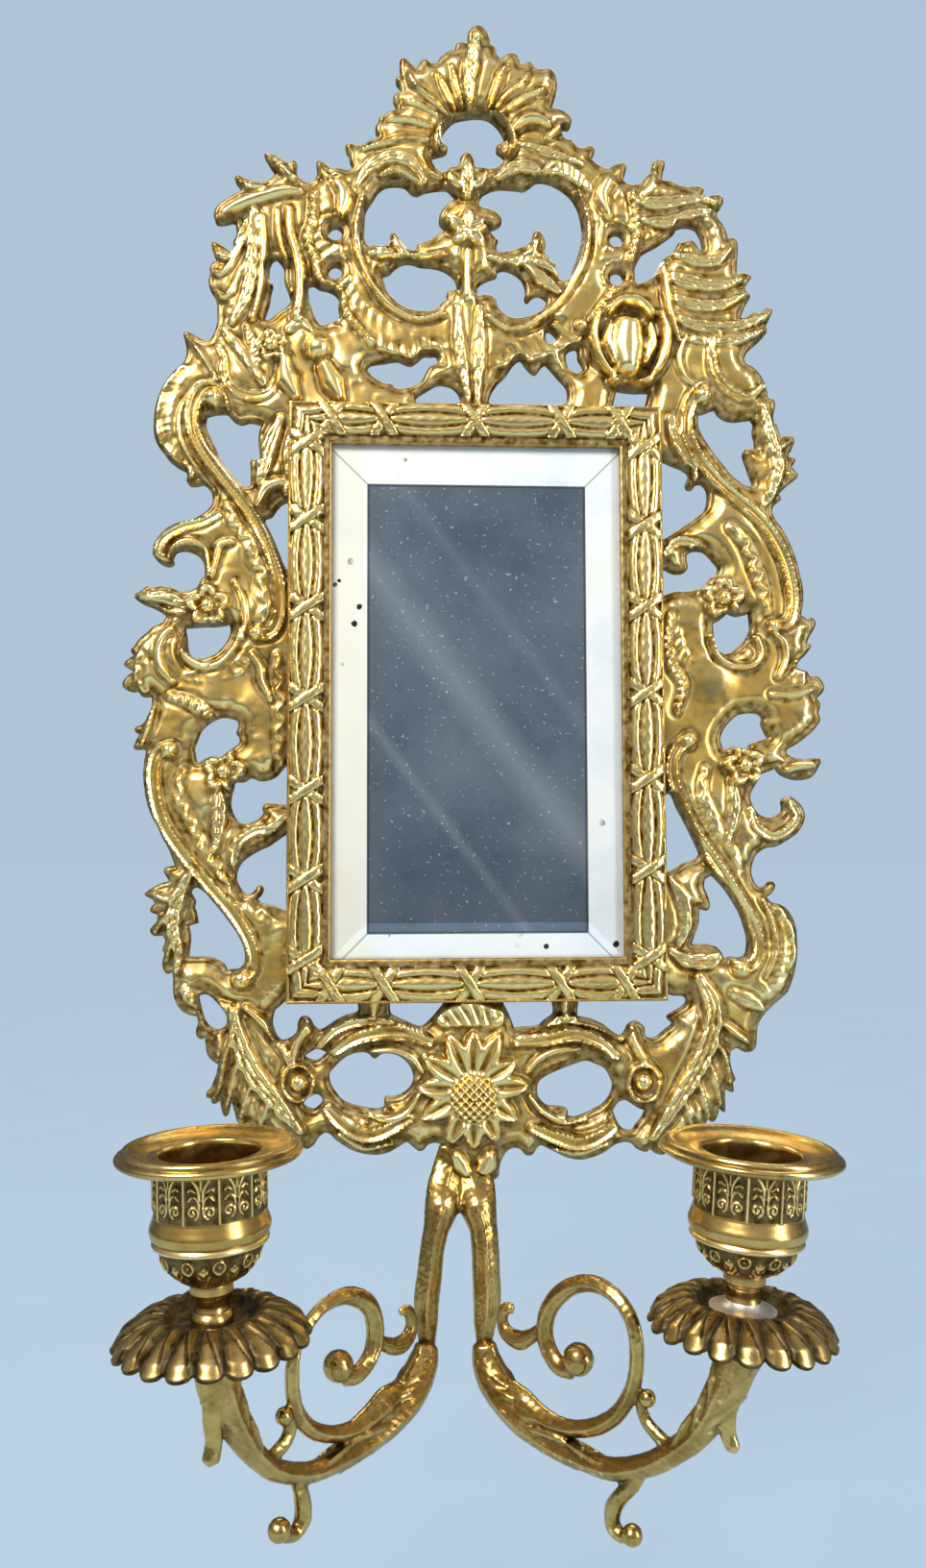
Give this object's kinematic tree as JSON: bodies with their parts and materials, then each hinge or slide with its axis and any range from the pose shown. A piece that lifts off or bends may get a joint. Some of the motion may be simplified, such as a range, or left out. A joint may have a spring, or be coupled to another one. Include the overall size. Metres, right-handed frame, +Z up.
{
  "type": "girandole mirror",
  "caption": "Wall mirror in a pierced rocaille brass frame, with a bevelled glass and scrolled candle arms that carry petal drip pans, cups and lift-out nozzles.",
  "frame": {"origin": "centre of the four wall-screw holes, on the flat back that lies on the wall", "axes": "+X to the right seen from the front, +Y into the wall, +Z up"},
  "size_m": [0.2032, 0.0938, 0.4143],
  "materials": {
    "gilt_brass": "worn gilt casting, dark in the hollows",
    "arm_brass": "polished and aged",
    "cup_brass": "turned, polished and aged",
    "pan_brass": "cast, tarnished",
    "button_brass": "satin",
    "mirror_glass": "silvered, foxed at its edges",
    "packing_felt": "matt felt",
    "board_wood": "plain planed",
    "screw_steel": "dulled",
    "grey_metal": "dull pale grey"
  },
  "bodies": {
    "root": {"frame_casting": "gilt_brass", "mirror_plate": "mirror_glass", "mirror_packing": "packing_felt", "backboard": "board_wood", "button_screws": "screw_steel", "seed_head_bolt": "gilt_brass", "bolt_washer": "screw_steel", "bolt_nut": "screw_steel", "arm_yoke": "arm_brass", "left_arm": "arm_brass", "left_cup_stud": "screw_steel", "left_pan_washer": "arm_brass", "right_arm": "arm_brass", "right_cup_stud": "screw_steel", "right_pan_washer": "grey_metal"},
    "left_pan": {"left_drip_pan": "pan_brass"},
    "left_cup": {"left_candle_cup": "cup_brass"},
    "left_nozzle_body": {"left_nozzle": "cup_brass"},
    "right_pan": {"right_drip_pan": "pan_brass"},
    "right_cup": {"right_candle_cup": "cup_brass"},
    "right_nozzle_body": {"right_nozzle": "cup_brass"},
    "button_1": {"turn_button_1": "button_brass"},
    "button_2": {"turn_button_2": "button_brass"},
    "button_3": {"turn_button_3": "button_brass"},
    "button_4": {"turn_button_4": "button_brass"}
  },
  "joints": [
    {"name": "left_pan_turn", "type": "hinge", "parent": "root", "child": "left_pan", "pos_m": [-0.064, -0.072, -0.2794], "axis": [-0.0244, 0, 0.9997], "continuous": true},
    {"name": "left_cup_turn", "type": "hinge", "parent": "root", "child": "left_cup", "pos_m": [-0.06409, -0.072, -0.2757], "axis": [-0.0244, 0, 0.9997], "continuous": true},
    {"name": "left_nozzle_lift", "type": "slide", "parent": "left_cup", "child": "left_nozzle_body", "axis": [-0.0244, 0, 0.9997], "range_m": [0, 0.03]},
    {"name": "right_pan_turn", "type": "hinge", "parent": "root", "child": "right_pan", "pos_m": [0.0548, -0.072, -0.2799], "axis": [0.0698, 0, 0.9976], "continuous": true},
    {"name": "right_cup_turn", "type": "hinge", "parent": "root", "child": "right_cup", "pos_m": [0.05506, -0.072, -0.27621], "axis": [0.0698, 0, 0.9976], "continuous": true},
    {"name": "right_nozzle_lift", "type": "slide", "parent": "right_cup", "child": "right_nozzle_body", "axis": [0.0698, 0, 0.9976], "range_m": [0, 0.03]},
    {"name": "button_1_turn", "type": "hinge", "parent": "root", "child": "button_1", "pos_m": [-0.0494, -0.0018, -0.08805], "axis": [0, 1, 0], "range_deg": [0, 90]},
    {"name": "button_2_turn", "type": "hinge", "parent": "root", "child": "button_2", "pos_m": [-0.0494, -0.0018, -0.17605], "axis": [0, 1, 0], "range_deg": [0, 90]},
    {"name": "button_3_turn", "type": "hinge", "parent": "root", "child": "button_3", "pos_m": [0.048, -0.0018, -0.08805], "axis": [0, 1, 0], "range_deg": [0, 90]},
    {"name": "button_4_turn", "type": "hinge", "parent": "root", "child": "button_4", "pos_m": [0.048, -0.0018, -0.17605], "axis": [0, 1, 0], "range_deg": [0, 90]}
  ]
}
